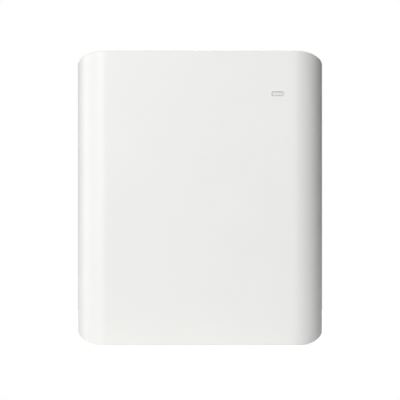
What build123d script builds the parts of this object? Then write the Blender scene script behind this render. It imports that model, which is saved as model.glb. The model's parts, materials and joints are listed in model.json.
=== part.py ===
from build123d import *
import os

# Wall battery unit: a sealed cell compartment with an electronics bay above it, hung on a wall
# bracket and closed by a wrap-around moulded cover. Millimetres. The wall is the plane y = 0,
# the front faces -Y, +Z is up, and the origin is the centre of the bracket's four wall holes.

# ---- overall ----
cover_width = 325.0
cover_height = 390.0
overall_depth = 220.0

# ---- moulded cover ----
cover_wall = 3.0
cover_corner_radius = 38.0  # plan view, where the front turns into the sides
shoulder_width = 34.5  # the elliptical corner of the front outline
shoulder_drop = 18.8
cover_rear_gap = 22.0  # wall to the cover's rear edge
vent_count = 18
vent_pitch = 10.0
vent_width = 4.0
vent_length = 46.0
vent_setback = 40.0  # rear edge to the nearest end of the slots
rib_thickness = 2.4
rib_levels = (-120.0, -20.0, 150.0)
rib_rear_gap = 38.0  # rear edge to the ribs' ends
rib_column = 60.0  # distance of the top ribs from the middle
foot_rib_column = 100.0  # distance of the bottom ribs from the middle
slide_gap = 0.3  # between the cover's ribs and the housing flange

# ---- status window ----
window_width = 15.2
window_height = 5.6
window_x = 103.0
window_z = 138.0
window_gap = 0.5  # round the lens
window_recess = 1.2
lens_flange = 1.5
lens_flange_reach = 3.0  # past the opening's edge
light_pipe_gap = 3.0  # lens to light-emitting parts
led_bracket_thickness = 1.5
led_standoff = 3.0
led_height = 1.2

# ---- housing ----
sheet = 2.0
housing_back_gap = 30.0  # wall to the housing's back
flange_setback = 27.0  # flange plane behind the cover's inner front
flange_width = 12.0
flange_side_gap = 3.5
flange_top_gap = 8.0
flange_bottom_gap = 20.0
flange_corner_radius = 10.0
bay_height = 126.0  # electronics bay above the divider
divider_lip = 14.0
gasket_thickness = 2.0
emboss_height = 4.0
emboss_margin = 32.0
stud_ball_radius = 3.4
clip_gap = 0.4  # round the stud's ball
clip_wall = 2.2
clip_depth = 14.0

# ---- fasteners ----
screw_radius = 1.9
screw_clearance = 0.2
screw_head_radius = 3.8
screw_head_height = 2.4
screw_length = 8.0

# ---- wall bracket and hanger ----
bracket_half_width = 125.0
bracket_sheet = 3.0
bracket_foot_z = -150.0
wall_hole_radius = 3.5
wall_hole_x = 100.0
wall_hole_z = 120.0
knockout_radius = 15.0
knockout_x = 40.0
knockout_z = 60.0
bracket_fold = 8.0  # forward fold along the bracket's lower edge
hook_half_width = 95.0
hook_z = 149.0  # underside of the hook's shelf
hook_reach = 17.0  # wall to the front of the hook's lip
hook_lip_height = 16.0
hanger_half_width = 90.0
hanger_sheet = 3.0
hanger_lip_gap = 1.5  # hanger lip above the hook's shelf
hanger_slack = 5.0  # hook's lip to hanger's lip
bumper_radius = 9.0
bumper_x = 100.0
bumper_z = -60.0
bumper_gap = 0.3

# ---- rear heatsink ----
heatsink_half_width = 75.0
heatsink_base = 3.0
heatsink_fin_height = 9.0
heatsink_fin_thickness = 2.0
heatsink_fin_count = 16
heatsink_height = 82.0

# ---- cells ----
cell_count = 8
cell_separator = 1.0
end_plate = 6.0
stack_side_gap = 16.5
tray_thickness = 4.0
tray_rim = 2.0
rear_channel = 28.0  # wiring space behind the cells
cell_front_gap = 4.0
terminal_room = 20.0  # above the cells, under the divider
terminal_height = 4.0
terminal_half = 8.0
terminal_inset = 19.0  # terminal centre from the cell's edge
stud_radius = 3.0
stud_height = 8.0
busbar_thickness = 2.0
nut_height = 4.5
nut_radius = 5.6
band_width = 16.0
band_thickness = 0.8
board_thickness = 1.6
standoff_height = 8.0

# ---- electronics ----
plate_setback = 70.0  # electronics plate behind the flange plane
plate_flange = 14.0
power_strip = 30.0  # height of the strip under the control board
board_left_margin = 12.0
board_right_margin = 122.0
inverter_thickness = 30.0
inverter_left_margin = 47.0
inverter_right_margin = 77.0
inverter_edge_gap = 8.0
contactor_width = 46.0
contactor_height = 56.0
contactor_depth = 40.0
link_thickness = 2.5
fuse_radius = 9.0
fuse_length = 34.0
lead_radius = 3.5
lead_bend = 16.0
lead_hole_gap = 2.5
lead_offset = 12.0  # behind the terminal it comes from
lead_lane = 22.0  # in front of the electronics plate
shunt_block = 16.0
shunt_bridge = 28.0

# ---- isolator ----
isolator_z = 108.0
isolator_half = 24.0
isolator_depth = 46.0
isolator_plate_half = 28.0
isolator_plate_thickness = 2.0
knob_radius = 20.0
knob_skirt = 4.0
knob_height = 14.5
knob_grip_width = 10.0
knob_gap = 0.3
shaft_radius = 3.0
shaft_gap = 0.05
knob_finger_room = 10.0

# ---- underside: cable glands, wake button, earth stud ----
gland_x = (-45.0, -5.0)
entry_setback = 14.0  # behind the housing's inner back face
gland_bore = 5.5
gland_thread = 8.0
gland_hex = 12.0
seal_bore = 5.0
seal_length = 8.0
gland_flange = 5.0
gland_reach = 14.0  # thread below the housing's floor
locknut_height = 5.0
thread_gap = 0.1
button_x = 45.0
button_radius = 5.1
button_gap = 0.1
button_travel = 2.0
bezel_radius = 8.0
bezel_wall = 1.2
bezel_height = 3.0
sleeve_height = 6.0  # above the housing's floor
earth_x = 75.0
relief_height = 0.5  # of the earth stud's thread relief
relief_depth = 0.4
entry_room = 8.0  # round the entries, inside the cover's cable notch

# ---- levels worked out from the values above ----
front = -overall_depth
cover_half = cover_width / 2
cover_top = cover_height / 2
inner_half = cover_half - cover_wall
inner_top = cover_top - cover_wall
inner_front = front + cover_wall
cover_rear = -cover_rear_gap

flange_y = inner_front + flange_setback
flange_half = inner_half - flange_side_gap
flange_top = inner_top - flange_top_gap
flange_bottom = -inner_top + flange_bottom_gap
house_half = flange_half - flange_width
house_top = flange_top - flange_width
house_bottom = flange_bottom + flange_width
house_back = -housing_back_gap
room_half = house_half - sheet
room_top = house_top - sheet
room_floor = house_bottom + sheet
room_back = house_back - sheet

divider_top = room_top - bay_height
divider_z = divider_top - sheet
lip_bottom = divider_top - divider_lip
lid_back = flange_y - gasket_thickness
lid_front = lid_back - sheet
emboss_front = lid_front - emboss_height
flange_mid_x = flange_half - flange_width / 2
flange_mid_top = flange_top - flange_width / 2
flange_mid_bottom = flange_bottom + flange_width / 2
stud_x = 118.0 / 325.0 * cover_width

cell_bottom = room_floor + tray_thickness
cell_top = divider_z - terminal_room
cell_back = room_back - rear_channel
cell_front = flange_y + cell_front_gap
cell_mid_y = (cell_back + cell_front) / 2
block_half = room_half - stack_side_gap
stack_half = block_half - end_plate
cell_pitch = (2 * stack_half + cell_separator) / cell_count
cell_thickness = cell_pitch - cell_separator
cell_x = [-stack_half + cell_thickness / 2 + i * cell_pitch for i in range(cell_count)]
terminal_y = {"rear": cell_back - terminal_inset, "front": cell_front + terminal_inset}
terminal_top = cell_top + terminal_height
busbar_top = terminal_top + busbar_thickness
lead_rise_y = terminal_y["rear"] + lead_offset

plate_y = flange_y + plate_setback  # front face of the electronics plate
board_bottom = divider_top + power_strip
board_top = room_top - inverter_edge_gap
board_left = -room_half + board_left_margin
board_right = room_half - board_right_margin
board_back = plate_y - standoff_height
board_front = board_back - board_thickness
strip_z = divider_top + power_strip / 2

isolator_y = (room_back + plate_y + sheet) / 2
knob_base = house_half + isolator_plate_thickness + knob_gap
knob_top = knob_base + knob_height
entry_y = room_back - entry_setback
notch_front = entry_y - gland_hex - entry_room
notch_left = gland_x[0] - gland_hex - entry_room
notch_right = earth_x + nut_radius + entry_room
hanger_web = hook_z + bracket_sheet + hook_lip_height  # where the hanger rests on the hook


# ---- helpers ----
def block(x0, x1, y0, y1, z0, z1):
    """Box between two corners."""
    middle = Pos((x0 + x1) / 2, (y0 + y1) / 2, (z0 + z1) / 2)
    return middle * Box(abs(x1 - x0), abs(y1 - y0), abs(z1 - z0))


def rod_x(y, z, radius, x0, x1):
    """Cylinder along X."""
    return Pos((x0 + x1) / 2, y, z) * Rot(0, 90, 0) * Cylinder(radius, abs(x1 - x0))


def rod_y(x, z, radius, y0, y1):
    """Cylinder along Y."""
    return Pos(x, (y0 + y1) / 2, z) * Rot(90, 0, 0) * Cylinder(radius, abs(y1 - y0))


def rod_z(x, y, radius, z0, z1):
    """Cylinder along Z."""
    return Pos(x, y, (z0 + z1) / 2) * Cylinder(radius, abs(z1 - z0))


def hex_z(x, y, radius, z0, z1):
    """Hexagonal bar along Z, radius to its corners."""
    return Pos(x, y, min(z0, z1)) * extrude(RegularPolygon(radius, 6), abs(z1 - z0))


def rounded_block(x0, x1, y0, y1, z0, z1, radius, axis):
    """Box whose edges along one axis are rounded."""
    body = block(x0, x1, y0, y1, z0, z1)
    return fillet(body.edges().filter_by(axis), radius)


def frame_xz(x_half, z0, z1, y0, y1, radius):
    """Plate in the XZ plane with round corners, between two depths."""
    return rounded_block(-x_half, x_half, y0, y1, z0, z1, radius, Axis.Y)


def lead(points, bend):
    """Round cable along straight runs joined by tangent arcs."""
    path = FilletPolyline(*points, radius=bend)
    section = Plane(path @ 0, z_dir=path % 0) * Circle(lead_radius)
    return sweep(section, path)


def save(name, *shapes):
    """Writes one sub-part, with each of its solids, to its own STEP file."""
    solids = [solid for shape in shapes for solid in shape.solids()]
    export_step(solids[0] if len(solids) == 1 else Compound(solids), f"parts/{name}.step")


# ---- cover ----
def cover_block(inset, rear):
    """The cover's form, taken in by inset: the plan outline standing up, cut by the front outline."""
    half = cover_half - inset
    face = front + inset
    high = cover_top - inset
    plan = Pos(0, (face + rear) / 2) * Rectangle(2 * half, rear - face)
    plan = fillet(plan.vertices().group_by(Axis.Y)[0], cover_corner_radius - inset)
    standing = extrude(plan, high, both=True)
    wide = shoulder_width - inset
    drop = shoulder_drop - inset
    outline = Rectangle(2 * (half - wide), 2 * high) + Rectangle(2 * half, 2 * (high - drop))
    corners = [(sx * (half - wide), sz * (high - drop)) for sx in (-1, 1) for sz in (-1, 1)]
    outline += [Pos(*corner) * Ellipse(wide, drop) for corner in corners]
    return standing & extrude(Plane.XZ * outline, overall_depth)


def vent_slots(z0, z1, y_near):
    """Row of slots through the cover's top or bottom wall."""
    first = -(vent_count - 1) / 2 * vent_pitch
    slot = Rot(0, 0, 90) * SlotOverall(vent_length, vent_width)
    places = [Pos(first + i * vent_pitch, y_near - vent_length / 2, z0) for i in range(vent_count)]
    return [place * extrude(slot, z1 - z0) for place in places]


def knob_notch():
    """Opening in the right-hand wall round the isolator knob, open at the rear edge."""
    radius = knob_radius + knob_finger_room
    reach = cover_half - inner_half + 2
    x0 = inner_half - 1
    round_end = rod_x(isolator_y, isolator_z, radius, x0, x0 + reach)
    straight = block(x0, x0 + reach, isolator_y, 0, isolator_z - radius, isolator_z + radius)
    return [round_end, straight]


def cable_notch():
    """Opening in the bottom wall under the glands, button and earth stud, open at the rear edge."""
    low, high = -cover_top - 1, -inner_top + 1
    opening = rounded_block(notch_left, notch_right, notch_front, 40, low, high, 8, Axis.Z)
    return opening & block(notch_left, notch_right, notch_front, 0, low, high)


def cover_ribs():
    """Ribs inside the walls that centre the cover on the housing flange."""
    y0, y1 = lid_front, cover_rear - rib_rear_gap
    half_rib = rib_thickness / 2
    ribs = []
    for z in rib_levels:
        for x0, x1 in ((-inner_half, -flange_half - slide_gap), (flange_half + slide_gap, inner_half)):
            ribs.append(block(x0, x1, y0, y1, z - half_rib, z + half_rib))
    for side in (-1, 1):
        x = side * rib_column
        ribs.append(block(x - half_rib, x + half_rib, y0, y1, flange_top + slide_gap, inner_top))
        x = side * foot_rib_column
        ribs.append(block(x - half_rib, x + half_rib, y0, y1, -inner_top, flange_bottom - slide_gap))
    return ribs


def front_cover():
    """Wrap-around moulding: front, sides, top and bottom in one shell."""
    shell = cover_block(0, cover_rear) - cover_block(cover_wall, cover_rear + 10)
    window = block(
        window_x - window_width / 2, window_x + window_width / 2, front - 1, inner_front + 1,
        window_z - window_height / 2, window_z + window_height / 2,
    )
    top_vents = vent_slots(inner_top - 1, cover_top + 1, cover_rear - vent_setback)
    bottom_vents = vent_slots(-cover_top - 1, -inner_top + 1, notch_front - vent_setback)
    shell -= [window, *top_vents, *bottom_vents, *knob_notch(), cable_notch()]
    return shell + cover_ribs()


def status_lens():
    """Translucent window with a flange behind the cover's wall and a light pipe to the board."""
    half_w = window_width / 2 - window_gap
    half_h = window_height / 2 - window_gap
    pipe_end = led_front() - light_pipe_gap
    body = block(
        window_x - half_w, window_x + half_w, front + window_recess, pipe_end,
        window_z - half_h, window_z + half_h,
    )
    wide, high = half_w + lens_flange_reach, half_h + lens_flange_reach
    flange = block(
        window_x - wide, window_x + wide, inner_front, inner_front + lens_flange,
        window_z - high, window_z + high,
    )
    return body + flange


def stud_places():
    """Centre and seat depth of each of the four cover studs."""
    top = [(side * stud_x, flange_mid_top, flange_y) for side in (-1, 1)]
    bottom = [(side * stud_x, flange_mid_bottom, lid_front) for side in (-1, 1)]
    return top + bottom


def cover_studs():
    """Ball studs on the housing that the cover's clips snap over."""
    ball_y = inner_front + clip_depth - 1.5 * stud_ball_radius
    collar_radius, collar_height, stem_radius = 4.0, 3.0, 2.2
    studs = []
    for x, z, seat in stud_places():
        stem = rod_y(x, z, collar_radius, seat, seat - collar_height)
        stem += rod_y(x, z, stem_radius, seat - collar_height, ball_y)
        studs.append(stem + Pos(x, ball_y, z) * Sphere(stud_ball_radius))
    return studs


def cover_clips():
    """Socket clips on the inside of the cover, one for each stud."""
    clips = []
    for x, z, _ in stud_places():
        bore = stud_ball_radius + clip_gap
        sleeve = rod_y(x, z, bore + clip_wall, inner_front, inner_front + clip_depth)
        clips.append(sleeve - rod_y(x, z, bore, inner_front + clip_wall, inner_front + clip_depth + 1))
    return clips


# ---- housing ----
def lid_screw_places():
    """Centres of the lid screws on the flange and the divider's lip."""
    rows = [house_bottom + 14, (house_bottom + lip_bottom) / 2, lip_bottom - 16]
    sides = [(side * flange_mid_x, z) for side in (-1, 1) for z in rows]
    columns = (-0.45 * house_half, 0, 0.45 * house_half)
    bottom = [(x, flange_mid_bottom) for x in columns]
    top = [(x, (lip_bottom + divider_top) / 2) for x in (*columns, -0.9 * house_half, 0.9 * house_half)]
    return sides + bottom + top


def screw_holes(y0, y1):
    """Clearance holes for the lid screws between two depths."""
    radius = screw_radius + screw_clearance
    return [rod_y(x, z, radius, y0, y1) for x, z in lid_screw_places()]


def screw_y(x, z, seat):
    """Pan-head screw along Y with its head in front of seat."""
    head = rod_y(x, z, screw_head_radius, seat - screw_head_height, seat)
    head = fillet(head.edges().group_by(Axis.Y)[0], 1.2)
    drive = rod_y(x, z, 1.5, seat - screw_head_height - 1, seat - screw_head_height + 1.2)
    return head + rod_y(x, z, screw_radius, seat, seat + screw_length) - drive


def housing():
    """Sheet-metal pan with an outward flange round its open front."""
    pan = rounded_block(-house_half, house_half, flange_y, house_back, house_bottom, house_top, 3, Axis.Y)
    room = rounded_block(-room_half, room_half, flange_y - 1, room_back, room_floor, room_top, 1.5, Axis.Y)
    flange = frame_xz(flange_half, flange_bottom, flange_top, flange_y, flange_y + sheet, flange_corner_radius)
    body = pan + flange - room
    entry_radii = {x: gland_thread for x in gland_x}
    entry_radii |= {button_x: button_radius + button_gap + bezel_wall, earth_x: stud_radius}
    entries = [rod_z(x, entry_y, radius + screw_clearance, house_bottom - 1, room_floor + 1)
               for x, radius in entry_radii.items()]
    shaft_hole = rod_x(isolator_y, isolator_z, shaft_radius + 2, room_half - 1, house_half + 1)
    frame_holes = [rod_y(x, z, screw_radius + screw_clearance, room_back - 1, house_back + 1)
                   for x, z in heatsink_screw_places() + hanger_screw_places()]
    return body - [*entries, shaft_hole, *frame_holes, *screw_holes(flange_y - 1, flange_y + sheet + 1)]


def housing_lid():
    """Pressed lid over the cell compartment, with a raised field."""
    plate = frame_xz(flange_half, flange_bottom, divider_top, lid_front, lid_back, flange_corner_radius)
    half = flange_half - emboss_margin
    low, high = flange_bottom + emboss_margin, divider_top - emboss_margin
    raised = frame_xz(half, low, high, emboss_front, lid_front, 8)
    raised = fillet(raised.edges().group_by(Axis.Y)[0], 2)
    hollow = frame_xz(half - sheet, low + sheet, high - sheet, emboss_front + sheet, lid_back, 6)
    return plate + raised - [hollow, *screw_holes(lid_front - 1, lid_back + 1)]


def lid_gasket():
    """Rubber ring between the flange and the lid."""
    ring = frame_xz(flange_half, flange_bottom, divider_top, lid_back, flange_y, flange_corner_radius)
    opening = frame_xz(room_half, house_bottom + 1, lip_bottom, lid_back - 1, flange_y + 1, 3)
    return ring - [opening, *screw_holes(lid_back - 1, flange_y + 1)]


def bay_divider():
    """Shelf between the compartments, with a front lip that seats the lid."""
    shelf = block(-room_half, room_half, flange_y, room_back, divider_z, divider_top)
    lip = block(-room_half, room_half, flange_y, flange_y + sheet, lip_bottom, divider_top)
    holes = [rod_z(x, lead_rise_y, lead_radius + lead_hole_gap, divider_z - 1, divider_top + 1)
             for x in (cell_x[0], cell_x[-1])]
    channel = block(gland_x[0] - gland_bore, gland_x[-1] + gland_bore, entry_y - gland_bore, room_back + 1,
                    divider_z - 1, divider_top + 1)
    return shelf + lip - [*holes, channel, *screw_holes(flange_y - 1, flange_y + sheet + 1)]


def rear_heatsink():
    """Finned extrusion on the housing's back, behind the inverter."""
    z0 = divider_top
    z1 = z0 + heatsink_height
    base_face = house_back + heatsink_base
    body = block(-heatsink_half_width, heatsink_half_width, house_back, base_face, z0, z1)
    step = (2 * heatsink_half_width - heatsink_fin_thickness) / (heatsink_fin_count - 1)
    for i in range(heatsink_fin_count):
        x0 = -heatsink_half_width + i * step
        body += block(x0, x0 + heatsink_fin_thickness, base_face, base_face + heatsink_fin_height, z0, z1)
    return body - [rod_y(x, z, screw_radius + screw_clearance, house_back - 1, base_face + 1)
                   for x, z in heatsink_screw_places()]


def heatsink_screw_places():
    """Centres of the heatsink's four screws, between fins."""
    step = (2 * heatsink_half_width - heatsink_fin_thickness) / (heatsink_fin_count - 1)
    x = heatsink_half_width - heatsink_fin_thickness / 2 - 1.5 * step
    return [(side * x, z) for side in (-1, 1) for z in (divider_top + 12, divider_top + heatsink_height - 12)]


def hanger_screw_places():
    """Centres of the hanger's four screws."""
    z = hook_z - 3
    return [(side * x, z) for side in (-1, 1) for x in (30, 78)]


def back_screw(x, z, seat):
    """Screw along Y with its head behind seat, on the wall side."""
    head = rod_y(x, z, screw_head_radius - 0.6, seat, seat + screw_head_height)
    return head + rod_y(x, z, screw_radius, seat - screw_length, seat)


def hanger_rail():
    """Folded rail on the housing's back: plate, web over the hook, lip down behind it."""
    plate_front = house_back
    plate_back = house_back + hanger_sheet
    lip_front = -hook_reach + bracket_sheet + hanger_slack
    web_top = hanger_web + hanger_sheet
    half = hanger_half_width
    plate = block(-half, half, plate_front, plate_back, hook_z - 9, web_top)
    web = block(-half, half, plate_front, lip_front + hanger_sheet, hanger_web, web_top)
    lip_foot = hook_z + bracket_sheet + hanger_lip_gap
    lip = block(-half, half, lip_front, lip_front + hanger_sheet, lip_foot, web_top)
    folded = plate + web + lip
    outer_folds = folded.edges().filter_by(Axis.X).group_by(Axis.Z)[-1]
    folded = fillet(outer_folds, 2)
    return folded - [rod_y(x, z, screw_radius + screw_clearance, plate_front - 1, plate_back + 1)
                     for x, z in hanger_screw_places()]


def wall_bracket():
    """Steel wall plate whose top edge folds forward and up into the hook."""
    lip_front = -hook_reach
    shelf_top = hook_z + bracket_sheet
    plate = rounded_block(-bracket_half_width, bracket_half_width, -bracket_sheet, 0,
                          bracket_foot_z, shelf_top, 8, Axis.Y)
    shelf = block(-hook_half_width, hook_half_width, lip_front, -bracket_sheet / 2, hook_z, shelf_top)
    lip = block(-hook_half_width, hook_half_width, lip_front, lip_front + bracket_sheet,
                hook_z, shelf_top + hook_lip_height)
    fold = block(-hook_half_width, hook_half_width, -bracket_sheet - bracket_fold, -bracket_sheet,
                 bracket_foot_z, bracket_foot_z + bracket_sheet)
    body = plate + shelf + lip + fold
    wall_holes = [rod_y(sx * wall_hole_x, sz * wall_hole_z, wall_hole_radius, -bracket_sheet - 1, 1)
                  for sx in (-1, 1) for sz in (-1, 1)]
    knockouts = [rod_y(sx * knockout_x, sz * knockout_z, knockout_radius, -bracket_sheet - 1, 1)
                 for sx in (-1, 1) for sz in (-1, 1)]
    return body - [*wall_holes, *knockouts]


def wall_bumpers():
    """Rubber buffers that keep the unit's lower end off the wall."""
    face = -bracket_sheet - bumper_gap
    return [rod_y(side * bumper_x, bumper_z, bumper_radius, house_back, face) for side in (-1, 1)]


# ---- cell block ----
def cell(x):
    """Prismatic cell: can, vent recess and two threaded terminals."""
    half = cell_thickness / 2
    can = rounded_block(x - half, x + half, cell_front, cell_back, cell_bottom, cell_top, 1.5, Axis.Z)
    can -= Pos(x, cell_mid_y, cell_top - 1) * extrude(Rot(0, 0, 90) * SlotOverall(22, 10), 2)
    for y in terminal_y.values():
        pad = min(terminal_half, half - 1.5)
        can += block(x - pad, x + pad, y - terminal_half, y + terminal_half, cell_top, terminal_top)
        can += rod_z(x, y, stud_radius, terminal_top, terminal_top + stud_height)
    return can


def cell_separators():
    """Insulating sheets between the cells."""
    gaps = [x + cell_thickness / 2 for x in cell_x[:-1]]
    return [block(x, x + cell_separator, cell_front, cell_back, cell_bottom, cell_top) for x in gaps]


def end_plate_at(side):
    """Pressure plate at one end of the stack, with lightening pockets outside."""
    x0, x1 = side * stack_half, side * block_half
    plate = block(x0, x1, cell_front, cell_back, cell_bottom, cell_top)
    pocket_half = (cell_back - cell_front) / 2 - 10
    height = (cell_top - cell_bottom) / 4
    for i in range(4):
        z = cell_bottom + (i + 0.5) * height
        if abs(z - band_levels()[0]) < band_width or abs(z - band_levels()[1]) < band_width:
            continue
        plate -= block(x1 - side * 3, x1 + side, cell_mid_y - pocket_half, cell_mid_y + pocket_half,
                       z - height / 4, z + height / 4)
    return plate


def band_levels():
    """Heights of the two tension bands."""
    height = cell_top - cell_bottom
    return cell_bottom + 0.2 * height, cell_bottom + 0.8 * height


def tension_bands():
    """Steel bands round the cells and end plates."""
    bands = []
    for z in band_levels():
        z0, z1 = z - band_width / 2, z + band_width / 2
        outer = block(-block_half - band_thickness, block_half + band_thickness,
                      cell_front - band_thickness, cell_back + band_thickness, z0, z1)
        bands.append(outer - block(-block_half, block_half, cell_front, cell_back, z0 - 1, z1 + 1))
    return bands


def cell_tray():
    """Moulded tray under the cells, with a low rim."""
    margin = band_thickness + 0.4
    x = block_half + margin
    y0, y1 = cell_front - margin, cell_back + margin
    rim_top = cell_bottom + 6
    tray = block(-x - tray_rim, x + tray_rim, y0 - 0.6, y1 + tray_rim, room_floor, rim_top)
    return tray - block(-x, x, y0, y1, cell_bottom, rim_top + 1)


def busbars():
    """Links that join the cells in series, alternately at the front and the rear."""
    links = []
    reach = cell_pitch / 2 + terminal_half - 1
    for i in range(cell_count - 1):
        middle = (cell_x[i] + cell_x[i + 1]) / 2
        y = terminal_y["front" if i % 2 == 0 else "rear"]
        link = rounded_block(middle - reach, middle + reach, y - terminal_half, y + terminal_half,
                             terminal_top, busbar_top, 3, Axis.Z)
        links.append(link - [rod_z(x, y, stud_radius + thread_gap, terminal_top - 1, busbar_top + 1)
                             for x in cell_x[i:i + 2]])
    return links


def stud_nut(x, y, z):
    """Hexagonal nut on a cell terminal's stud."""
    top = z + nut_height
    return hex_z(x, y, nut_radius, z, top) - rod_z(x, y, stud_radius + thread_gap, z - 1, top + 1)


def terminal_nuts():
    """A nut on every terminal stud."""
    return [stud_nut(x, y, busbar_top) for x in cell_x for y in terminal_y.values()]


def sense_board_y():
    """Front and rear edge of the voltage sensing board, between the two rows of terminals."""
    return terminal_y["front"] + terminal_half + 3, terminal_y["rear"] - terminal_half - 3


def sense_board():
    """Voltage sensing board above the cells."""
    y0, y1 = sense_board_y()
    half = stack_half - 8
    board = block(-half, half, y0, y1, busbar_top, busbar_top + board_thickness)
    plug = block(-14, 14, cell_mid_y - 5, cell_mid_y + 5, busbar_top + board_thickness, busbar_top + 9)
    return board, plug


# ---- electronics bay ----
def electronics_plate():
    """Folded plate across the bay that carries the control and power parts."""
    z0, z1 = divider_top, room_top - 4
    body = block(-room_half, room_half, plate_y, plate_y + sheet, z0, z1)
    for side in (-1, 1):
        x0, x1 = side * (room_half - sheet), side * room_half
        body += block(x0, x1, plate_y, plate_y + plate_flange, z0, z1)
    places = [(cell_x[0], strip_z), (cell_x[-1], strip_z), *inverter_lead_places()]
    holes = [rod_y(x, z, lead_radius + lead_hole_gap, plate_y - 1, plate_y + sheet + 1) for x, z in places]
    return body - holes


def bms_board():
    """Battery management board."""
    return block(board_left, board_right, board_front, board_back, board_bottom, board_top)


def board_standoffs():
    """Spacers under the management board, the sensing board and the status board."""
    inset = 6
    radius = 3
    corners = [(x, z) for x in (board_left + inset, board_right - inset)
               for z in (board_bottom + inset, board_top - inset)]
    posts = [rod_y(x, z, radius, board_back, plate_y) for x, z in corners]
    y0, y1 = sense_board_y()
    seats = [(x, y) for x in (cell_x[0], cell_x[-1]) for y in (y0 + inset, y1 - inset)]
    posts += [rod_z(x, y, radius, cell_top, busbar_top) for x, y in seats]
    board_seat = led_seat() - led_standoff
    posts += [rod_y(window_x + dx, window_z, radius / 2, board_seat, led_seat()) for dx in (-4.5, 4.5)]
    return posts


def bms_heatsink():
    """Finned bar over the board's power transistors."""
    x0, x1 = board_left + 14, board_right - 14
    z0, z1 = board_bottom + 3, board_bottom + 27
    body = block(x0, x1, board_front - 5, board_front, z0, z1)
    fins = 9
    step = (x1 - x0 - 2) / (fins - 1)
    return body + [block(x0 + i * step, x0 + i * step + 2, board_front - 18, board_front - 5, z0, z1)
                   for i in range(fins)]


def board_components():
    """Capacitors, inductor, relays, processor and connectors on the management board."""
    parts = []
    middle_z = board_bottom + 44
    for i in range(4):
        can = rod_y(board_left + 22 + 19 * i, middle_z, 8, board_front - 26, board_front)
        parts.append(fillet(can.edges().group_by(Axis.Y)[0], 1))
    coil_x = board_right - 30
    coil = rod_y(coil_x, middle_z, 14, board_front - 13, board_front)
    parts.append(coil - rod_y(coil_x, middle_z, 6, board_front - 14, board_front + 1))
    chip_x, chip_z = board_left + 69, board_top - 19
    parts.append(block(chip_x - 9, chip_x + 9, board_front - 1.6, board_front, chip_z - 9, chip_z + 9))
    for i in range(5):
        x = board_left + 16 + 7 * i
        parts.append(block(x, x + 5, board_front - 1.4, board_front, board_top - 24, board_top - 14))
    for i in range(3):
        x = board_right - 62 + 18 * i
        parts.append(block(x, x + 14, board_front - 9, board_front, board_top - 20, board_top - 12))
    return parts


def contactor_place():
    """Left edge and bottom of the main contactor."""
    return board_right + 12, board_top - contactor_height


def main_contactor():
    """Sealed contactor with two terminal posts on its face."""
    x0, z0 = contactor_place()
    face = plate_y - contactor_depth
    x1, z1 = x0 + contactor_width, z0 + contactor_height
    body = rounded_block(x0, x1, face, plate_y, z0, z1, 3, Axis.Y)
    barrier = block(x0 + 4, x1 - 4, face - 8, face, (z0 + z1) / 2 - 1.5, (z0 + z1) / 2 + 1.5)
    posts = [rod_y((x0 + x1) / 2, z, 6, face - 4, face) for z in contactor_post_levels()]
    return body + [barrier, *posts]


def contactor_post_levels():
    """Heights of the contactor's two posts."""
    _, z0 = contactor_place()
    return z0 + 14, z0 + contactor_height - 14


def link_face():
    """Front plane of the contactor's posts, which the link bar lies on."""
    return plate_y - contactor_depth - 4


def fuse_ends():
    """Lower and upper end of the fuse cartridge."""
    top = contactor_post_levels()[1] - 8
    return top - fuse_length, top


def fuse_holder():
    """Base with a terminal post at each end of the fuse."""
    x = cell_x[-1]
    low, high = fuse_ends()
    base = block(x - 12, x + 12, plate_y - 12, plate_y, low - 14, high + 14)
    posts = [block(x - 7, x + 7, link_face(), plate_y - 12, z0, z0 + 12) for z0 in (low - 12, high)]
    return base + posts


def dc_fuse():
    """Fuse cartridge between the posts."""
    x = cell_x[-1]
    low, high = fuse_ends()
    return rod_z(x, link_face() + fuse_radius + 2, fuse_radius, low, high)


def link_bar():
    """Copper bar from the fuse to the contactor, with its two bolts."""
    x0 = contactor_place()[0] + contactor_width / 2
    x1 = cell_x[-1]
    z = contactor_post_levels()[1]
    bar = rounded_block(x0 - 7, x1 + 7, link_face() - link_thickness, link_face(), z - 6, z + 4, 3, Axis.Y)
    head = Rot(90, 0, 0) * extrude(RegularPolygon(5, 6), 4)
    return bar, *[Pos(x, link_face() - link_thickness, z - 1) * head for x in (x0, x1)]


def shunt_ends():
    """Left and right end of the current shunt."""
    left = cell_x[0] + 1.5 * lead_bend
    return left, left + 2 * shunt_block + shunt_bridge


def current_shunt():
    """Two brass blocks joined by a resistance strip."""
    left, right = shunt_ends()
    lane = plate_y - lead_lane
    half = 9
    body = block(left, right, lane - 1.5, lane + 1.5, strip_z - half + 2, strip_z + half - 2)
    for x0 in (left, right - shunt_block):
        body += block(x0, x0 + shunt_block, lane - 10, plate_y, strip_z - half, strip_z + half)
    return body


def inverter_lead_places():
    """Where the inverter's two leads pass through the electronics plate."""
    contactor_x = contactor_place()[0] + contactor_width / 2
    return [(contactor_x, strip_z + 14), (shunt_ends()[1] + 1.5 * lead_bend, strip_z)]


def inverter_leads():
    """Leads from the contactor's lower post and from the shunt to the inverter."""
    (post_x, post_z), (shunt_x, _) = inverter_lead_places()
    inverter_face = room_back - inverter_thickness
    top = contactor_post_levels()[0] - 10
    lead_y = link_face() - 1
    lug = rounded_block(post_x - 7, post_x + 7, lead_y - 1.5, link_face(), top, top + 18, 3, Axis.Y)
    from_post = [(post_x, lead_y, top), (post_x, lead_y, post_z), (post_x, inverter_face, post_z)]
    lane = plate_y - lead_lane
    start = (shunt_ends()[1], lane, strip_z)
    from_shunt = [start, (shunt_x, lane, strip_z), (shunt_x, inverter_face, strip_z)]
    return lug, lead(from_post, lead_bend), lead(from_shunt, lead_bend)


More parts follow.
